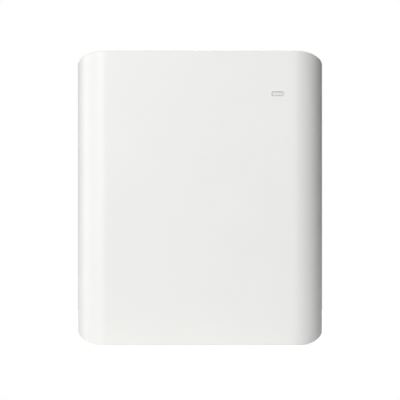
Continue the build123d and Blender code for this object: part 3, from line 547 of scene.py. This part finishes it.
def combine(piece: bpy.types.Object, tools: Sequence[bpy.types.Object], operation: str) -> bpy.types.Object:
    """Cuts or adds closed tools, which are then removed.

    Args:
        piece: the closed piece to change.
        tools: closed meshes.
        operation: DIFFERENCE or UNION.

    Returns:
        The piece, its modifiers applied.
    """
    for tool in tools:
        step = piece.modifiers.new(tool.name, "BOOLEAN")
        step.object, step.operation, step.solver = tool, operation, "EXACT"
    settle(piece)
    for tool in tools:
        bpy.data.objects.remove(tool)
    return piece


# ---------------------------------------------------------------- the frame's nodes


@dataclass
class Wardrobe:
    """Builds each finish once and dresses pieces in it."""

    slots: dict[str, str]
    bodies: dict[str, str]
    built: dict[str, bpy.types.Material] = field(default_factory=dict)

    def material(self, slot: str) -> bpy.types.Material:
        """The material of a slot, built when first asked for."""
        if slot not in self.built:
            self.built[slot] = FINISHES[slot].build()
        return self.built[slot]

    def dress(self, piece: bpy.types.Object, *nodes: str) -> bpy.types.Object:
        """Gives a new piece the finish and body of the nodes it stands for.

        Args:
            piece: the new piece.
            nodes: the nodes it replaces, the first of which sets finish and body.

        Returns:
            The piece.
        """
        slot = self.slots[nodes[0]]
        piece.data.materials.clear()
        piece.data.materials.append(self.material(slot))
        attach(piece, self.bodies[nodes[0]])
        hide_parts(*nodes)
        LOG.info("piece %s stands for %s", piece.name, ", ".join(nodes))
        return piece

    def paint(self, node: str, source: bpy.types.Object) -> None:
        """Gives a node of the frame its finish."""
        source.data.materials.clear()
        source.data.materials.append(self.material(self.slots[node]))
        LOG.info("node %s wears %s", node, self.slots[node])


def finished_copy(source: bpy.types.Object, name: str, bevel_mm: float) -> bpy.types.Object:
    """Copy of a frame node with merged faces, smooth rounds and softened edges.

    Args:
        source: the frame node.
        name: the new piece's name.
        bevel_mm: width of the softened edges.

    Returns:
        The copy.
    """
    data = source.data.copy()
    shape = bmesh.new()
    shape.from_mesh(data)
    bmesh.ops.remove_doubles(shape, verts=shape.verts, dist=NODE_SEAM)
    bmesh.ops.dissolve_limit(shape, angle_limit=math.radians(FLAT_DEGREES), verts=shape.verts, edges=shape.edges)
    shape.to_mesh(data)
    shape.free()
    piece = bpy.data.objects.new(name, data)
    bpy.context.scene.collection.objects.link(piece)
    smooth(piece)
    return keep_flats(bevel(piece, bevel_mm))


# ---------------------------------------------------------------- cover


@dataclass
class Cover:
    """Wrap-around moulding: one wall over front, sides, top and bottom.

    The plan is a U with round front corners. The front outline's corners are quarter ellipses. The front and
    sides are that plan standing up, and the top and bottom are that outline carried back.
    """

    width: float = 325.0
    height: float = 390.0
    depth: float = 220.0
    rear: float = -22.0
    wall: float = 3.0
    corner: float = 38.0
    shoulder_width: float = 34.5
    shoulder_drop: float = 18.8
    edge: float = 0.8
    corner_steps: int = 28
    front_steps: int = 16
    side_steps: int = 14
    wall_steps: int = 12
    slot_count: int = 18
    slot_pitch: float = 10.0
    slot_width: float = 4.0
    slot_length: float = 46.0
    top_slots_y: float = -62.0
    bottom_slots_y: float = -106.0
    window: Point = (103.0, -220.0, 138.0)
    window_size: tuple[float, float] = (15.2, 5.6)
    knob_centre: tuple[float, float] = (-75.0, 108.0)
    knob_room: float = 30.0
    cable_notch: tuple[float, float, float] = (-65.0, 88.6, -66.0)
    notch_corner: float = 8.0
    chamfer: float = 0.4
    rib: float = 2.4
    rib_levels: tuple[float, ...] = (-120.0, -20.0, 150.0)
    rib_reach: float = 3.2
    rib_length: float = 134.0
    rib_middle: float = -127.0
    rib_edge: float = 0.5
    rib_draft: float = 0.3
    rib_root: float = 0.2
    window_corner: float = 0.35
    window_flare: float = 0.25
    flare_height: float = 1.0
    slot_overrun: float = 1.0
    opening_overrun: float = 1.5
    knob_cut_reach: float = 120.0
    cable_cut_reach: float = 80.0
    end_gap: float = 0.001

    def half_height(self, x: np.ndarray, inset: float) -> np.ndarray:
        """Half the height at x: full in the middle, then h - b + b sqrt(1 - ((|x| - c) / a)^2) on the ellipse."""
        high, wide, drop = self.height / 2 - inset, self.shoulder_width - inset, self.shoulder_drop - inset
        start = self.width / 2 - inset - wide
        part = np.clip((np.abs(x) - start) / wide, 0.0, 1.0)
        return high - drop + drop * np.sqrt(1.0 - part**2)

    def plan(self, inset: float) -> tuple[np.ndarray, int]:
        """Plan curve from the left rear round the front to the right rear.

        Straight side, quarter circle, straight front and the mirror image of these.

        Args:
            inset: how far inside the outer face.

        Returns:
            Points by 2, and how many of them lie on each side's straight run.
        """
        half, face, radius = self.width / 2 - inset, -self.depth + inset, self.corner - inset
        run = 1.0 - np.linspace(0.0, 1.0, self.side_steps + 1)[:-1]
        side = np.column_stack([np.full(self.side_steps, -half), face + radius + run * (self.rear - face - radius)])
        angle = np.linspace(np.pi / 2, 0.0, self.corner_steps + 1)
        arc = np.column_stack([-(half - radius) - radius * np.sin(angle), face + radius - radius * np.cos(angle)])
        x = np.linspace(-(half - radius), 0.0, self.front_steps + 1)[1:]
        front = np.column_stack([x, np.full(len(x), face)])
        left = np.vstack([side, arc, front])
        right = left[-2::-1] * np.array([-1.0, 1.0])
        return np.vstack([left, right]), self.side_steps

    def skins(self, inset: float) -> tuple[np.ndarray, np.ndarray, np.ndarray]:
        """The wrapped wall, the top and the bottom at one inset, as grids that share their edges."""
        plan, straight = self.plan(inset)
        high = self.half_height(plan[:, 0], inset)
        rise = np.linspace(-1.0, 1.0, self.wall_steps + 1)
        wrap = np.stack([
            np.broadcast_to(plan[:, 0], (len(rise), len(plan))),
            np.broadcast_to(plan[:, 1], (len(rise), len(plan))),
            rise[:, None] * high,
        ], axis=-1)
        middle = plan[straight:-straight]
        back = np.linspace(0.0, 1.0, self.side_steps + 1)[:, None]
        y = middle[:, 1] + back * (self.rear - middle[:, 1])
        x = np.broadcast_to(middle[:, 0], y.shape)
        z = np.broadcast_to(high[straight:-straight], y.shape)
        return wrap, np.stack([x, y, z], axis=-1), np.stack([x, y, -z], axis=-1)

    def shell(self) -> bpy.types.Object:
        """Outer and inner skins joined by a rim along the rear edge."""
        surface = Surface()
        outer, inner = self.skins(0.0), self.skins(self.wall)
        for skins in (outer, inner):
            for skin in skins:
                surface.grid(skin)
        for a, b in zip(outer[1:], inner[1:]):
            surface.grid(np.stack([a[-1], b[-1]]))
        for column in (0, -1):
            surface.grid(np.stack([outer[0][:, column], inner[0][:, column]]))
        return surface.mesh("front_cover_shell")

    def levels(self, overrun: float) -> list[tuple[float, float]]:
        """Height and growth of a cutter's rings: straight through the wall, then a chamfer at the outer face.

        Args:
            overrun: how far the cutter reaches past the inner face.

        Returns:
            Pairs of height and growth.
        """
        past = self.flare_height
        return [(-self.wall - overrun, 0.0), (-self.chamfer, 0.0), (0.0, self.chamfer), (past, self.chamfer + past)]

    def slots(self, y: float, facing: Facing) -> bpy.types.Object:
        """Row of round-ended slot cutters through the top or bottom wall, flared at the outer face.

        Args:
            y: the row's front end.
            facing: the wall, top or bottom.

        Returns:
            One object with every slot of the row.
        """
        high = self.height / 2

        def outline(growth: float) -> np.ndarray:
            """Slot outline."""
            wide, long = self.slot_width + 2 * growth, self.slot_length + 2 * growth
            return rounded_outline(wide, long, wide / 2 - self.end_gap, steps=10)

        rings = stack_rings(outline, self.levels(self.slot_overrun))
        row = Surface()
        for i in range(self.slot_count):
            x = (i - (self.slot_count - 1) / 2) * self.slot_pitch
            spot = (x, y - self.slot_length / 2, high if facing is Facing.UP else -high)
            placed = place(rings, spot, facing)
            row.grid(placed, closed=True).lid(placed[0], flip=True).lid(placed[-1])
        return row.mesh(f"slots_{facing.value}")

    def opening(self, name: str, outline_at: Outline, centre: Point, facing: Facing) -> bpy.types.Object:
        """Cutter for one opening through the wall, flared at the outer face.

        Args:
            name: of the cutter.
            outline_at: its outline for a growth.
            centre: on the outer face.
            facing: which way that face looks.

        Returns:
            The cutter.
        """
        placed = place(stack_rings(outline_at, self.levels(self.opening_overrun)), centre, facing)
        return Surface().grid(placed, closed=True).lid(placed[0], flip=True).lid(placed[-1]).mesh(name)

    def cutters(self) -> list[bpy.types.Object]:
        """Every opening of the cover."""
        wide, high = self.window_size

        def window(growth: float) -> np.ndarray:
            """Window outline, with a smaller flare than the other openings."""
            grow = 2 * min(growth, self.window_flare)
            return rounded_outline(wide + grow, high + grow, self.window_corner, steps=4)

        def knob(growth: float) -> np.ndarray:
            """Half circle round the knob, straight from there to the rear edge."""
            radius, reach = self.knob_room + growth, self.knob_cut_reach
            angle = np.linspace(np.pi / 2, 3 * np.pi / 2, 33)
            round_end = radius * np.column_stack([np.cos(angle), np.sin(angle)])
            return np.vstack([[[reach, radius]], round_end, [[reach, -radius]]])

        x0, x1, y0 = self.cable_notch

        def cables(growth: float) -> np.ndarray:
            """Notch round the cable entries, open at the rear edge."""
            reach = self.cable_cut_reach
            box = rounded_outline(x1 - x0 + 2 * growth, reach + 2 * growth, self.notch_corner + growth)
            return box + np.array([0.0, -reach / 2])

        y, z = self.knob_centre
        return [
            self.slots(self.top_slots_y, Facing.UP),
            self.slots(self.bottom_slots_y, Facing.DOWN),
            self.opening("window_cut", window, self.window, Facing.FRONT),
            self.opening("knob_cut", knob, (self.width / 2, y, z), Facing.RIGHT),
            self.opening("cable_cut", cables, ((x0 + x1) / 2, y0, -self.height / 2), Facing.DOWN),
        ]

    def ribs(self) -> list[bpy.types.Object]:
        """Centring ribs inside the side walls, with drafted faces."""
        inner = self.width / 2 - self.wall
        tools = []
        for level in self.rib_levels:
            for side in (-1, 1):
                rings = stack_rings(
                    lambda growth: rounded_outline(self.rib_length, self.rib + 2 * growth, self.rib_edge, steps=3),
                    [(-self.rib_root, self.rib_draft), (self.rib_reach, 0.0)],
                )
                x, y, z = np.moveaxis(rings, -1, 0)
                placed = np.stack([side * (inner - z), x + self.rib_middle, y + level], axis=-1)
                tools.append(Surface().grid(placed, closed=True).lid(placed[0]).lid(placed[-1]).mesh("rib"))
        return tools

    def build(self, wardrobe: Wardrobe) -> None:
        """Makes the cover and dresses it.

        Args:
            wardrobe: gives its finish and body.
        """
        shell = self.shell()
        bevel(shell, self.edge, 3, 30.0)
        settle(shell)
        combine(shell, self.ribs(), "UNION")
        combine(shell, self.cutters(), "DIFFERENCE")
        shell.name = "moulded_front_cover"
        smooth(shell, 38.0)
        keep_flats(shell)
        wardrobe.dress(shell, "front_cover")


# ---------------------------------------------------------------- studio


@dataclass(frozen=True)
class Lamp:
    """Soft rectangular lamp aimed at the object's middle.

    Azimuth is from straight in front, positive to the right; both angles in degrees.
    """

    name: str
    azimuth: float
    elevation: float
    distance: float
    width: float
    height: float
    share: float

    def build(self, target: Vector) -> None:
        """Places the lamp. A share of 1 lights a facing white surface to exactly white.

        Args:
            target: the point it is aimed at.
        """
        across, up = math.radians(self.azimuth), math.radians(self.elevation)
        away = Vector((math.sin(across) * math.cos(up), -math.cos(across) * math.cos(up), math.sin(up)))
        data = bpy.data.lights.new(self.name, "AREA")
        data.shape, data.size, data.size_y = "RECTANGLE", self.width, self.height
        data.energy = self.share * (math.pi * self.distance) ** 2
        lamp = bpy.data.objects.new(self.name, data)
        bpy.context.scene.collection.objects.link(lamp)
        lamp.location = target + away * self.distance
        lamp.rotation_euler = (-away).to_track_quat("-Z", "Y").to_euler()


@dataclass
class Studio:
    """White sweep, soft lamps and a long lens from straight in front."""

    lamps: tuple[Lamp, ...] = (
        Lamp("key_softbox", -15.0, 18.0, 4.5, 1.4, 1.4, 0.63),
        Lamp("left_front", -30.0, 15.0, 4.5, 1.0, 1.2, 0.14),
        Lamp("left_side", -88.0, 10.0, 2.6, 1.0, 1.4, 0.245),
        Lamp("right_trace", 45.0, 20.0, 4.5, 1.4, 1.4, 0.02),
        Lamp("rear_fill", 168.0, 30.0, 2.6, 1.6, 1.2, 0.45),
    )
    ambient: float = 0.015
    reflected: float = 0.42
    camera_distance: float = 7.0
    view_width: float = 0.5297
    aim_drop: float = 0.0026
    floor_size: float = 4.0
    floor_gap: float = 0.0005
    floor_glow: float = 0.86
    floor_colour: str = "#E9E9E8"
    sensor_width: float = 36.0
    clip_end: float = 100.0

    def world(self) -> None:
        """White to the camera, paler to reflections, dim as a lamp."""
        world = bpy.data.worlds.new("white_room")
        bpy.context.scene.world = world
        world.use_nodes = True
        tree = world.node_tree
        tree.nodes.clear()
        path = add_node(tree, "ShaderNodeLightPath").outputs
        seen = add_node(tree, "ShaderNodeMath", {"operation": "MAXIMUM"}, {
            0: path["Is Glossy Ray"], 1: path["Is Transmission Ray"],
        }).outputs[0]
        base = add_node(tree, "ShaderNodeMix", {"data_type": "FLOAT"}, {
            "Factor": seen, MIX_A: self.ambient, MIX_B: self.reflected,
        }).outputs[0]
        strength = add_node(tree, "ShaderNodeMix", {"data_type": "FLOAT"}, {
            "Factor": path["Is Camera Ray"], MIX_A: base, MIX_B: 1.0,
        }).outputs[0]
        back = add_node(tree, "ShaderNodeBackground", None, {"Color": (1, 1, 1, 1), "Strength": strength})
        add_node(tree, "ShaderNodeOutputWorld", None, {"Surface": back.outputs["Background"]})

    def floor(self, level: float) -> None:
        """Pale floor: a matt surface that also glows to the camera, so only a deep shadow shows on it.

        Args:
            level: its height in metres.
        """
        data = bpy.data.meshes.new("floor")
        half = self.floor_size / 2
        data.from_pydata([(-half, -half, level), (half, -half, level), (half, half, level), (-half, half, level)],
                         [], [(0, 1, 2, 3)])
        floor = bpy.data.objects.new("floor", data)
        bpy.context.scene.collection.objects.link(floor)
        material = bpy.data.materials.new("pale_floor")
        material.use_nodes = True
        tree = material.node_tree
        tree.nodes.clear()
        path = add_node(tree, "ShaderNodeLightPath").outputs
        seen = add_node(tree, "ShaderNodeMath", {"operation": "MAXIMUM"}, {
            0: path["Is Camera Ray"], 1: path["Is Transmission Ray"],
        }).outputs[0]
        seen = add_node(tree, "ShaderNodeMath", {"operation": "MAXIMUM"}, {
            0: seen, 1: path["Is Glossy Ray"],
        }).outputs[0]
        power = add_node(tree, "ShaderNodeMath", {"operation": "MULTIPLY"}, {0: seen, 1: self.floor_glow}).outputs[0]
        glow = add_node(tree, "ShaderNodeEmission", None, {"Color": (1, 1, 1, 1), "Strength": power})
        matt = add_node(tree, "ShaderNodeBsdfDiffuse", None, {"Color": linear(self.floor_colour)})
        both = add_node(tree, "ShaderNodeAddShader", None, {0: glow.outputs[0], 1: matt.outputs[0]})
        add_node(tree, "ShaderNodeOutputMaterial", None, {"Surface": both.outputs[0]})
        data.materials.append(material)
        floor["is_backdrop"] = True

    def camera(self, centre: Vector, front: float) -> None:
        """Level long-lens camera whose frame is view_width wide at the object's front.

        Args:
            centre: middle of the object's box.
            front: y of its front.
        """
        data = bpy.data.cameras.new("long_lens")
        data.sensor_width = self.sensor_width
        data.lens = data.sensor_width * self.camera_distance / self.view_width
        data.clip_end = self.clip_end
        camera = bpy.data.objects.new("long_lens", data)
        bpy.context.scene.collection.objects.link(camera)
        camera.location = (centre.x, front - self.camera_distance, centre.z - self.aim_drop)
        camera.rotation_euler = (math.radians(90.0), 0.0, 0.0)
        bpy.context.scene.camera = camera

    def build(self, low: Vector, high: Vector) -> None:
        """Sets the whole stage round the object's box.

        Args:
            low: the box's lowest corner.
            high: its highest corner.
        """
        bpy.context.scene.view_settings.view_transform = "Standard"
        centre = (low + high) / 2
        self.world()
        self.floor(low.z - self.floor_gap)
        self.camera(centre, low.y)
        for lamp in self.lamps:
            lamp.build(centre)


# ---------------------------------------------------------------- main

# Nodes shown as a softened copy, and the width of their softened edges in millimetres.
SOFT_EDGES: dict[str, float] = {
    "wall_bracket": 0.5, "housing": 0.5, "housing_lid": 0.4, "bay_divider": 0.3, "rear_heatsink": 0.3,
    "hanger_rail": 0.5, "wall_bumpers": 0.8, "electronics_plate": 0.3, "main_contactor": 0.6, "fuse_holder": 0.6,
    "dc_fuse": 0.5, "current_shunt": 0.4, "microinverter": 0.6, "ac_terminal_block": 0.5, "isolator_body": 0.6,
    "isolator_plate": 0.5, "isolator_knob": 0.3, "cable_glands": 0.4, "gland_nuts": 0.4, "button_bezel": 0.3,
    "wake_button": 0.3, "earth_stud": 0.3, "board_components": 0.3, "link_bar": 0.3, "bms_heatsink": 0.2,
    "lid_screws": 0.2, "bms_board": 0.2, "status_lens": 0.15, "cover_studs": 0.2, "cover_clips": 0.3,
    "dc_lead_positive": 0.2, "dc_lead_negative": 0.2, "inverter_leads": 0.2,
}


def main() -> None:
    """Loads the frame, builds and dresses every piece and sets the stage."""
    logging.basicConfig(level=logging.INFO, format="%(message)s")
    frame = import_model()
    cad_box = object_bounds()
    slots = {part["node"]: part["material_slot"] for part in frame["record"]["subparts"]}
    bodies = {node: body for body, nodes in frame["record"]["behaviour"]["bodies"].items() for node in nodes}
    wardrobe = Wardrobe(slots, bodies)
    Cover().build(wardrobe)
    done = {"front_cover"}
    for node, source in frame["nodes"].items():
        if node in done:
            continue
        if node in SOFT_EDGES:
            wardrobe.dress(finished_copy(source, f"{node}_finished", SOFT_EDGES[node]), node)
        else:
            wardrobe.paint(node, source)
    Studio().build(*cad_box)


if __name__ == "__main__":
    main()
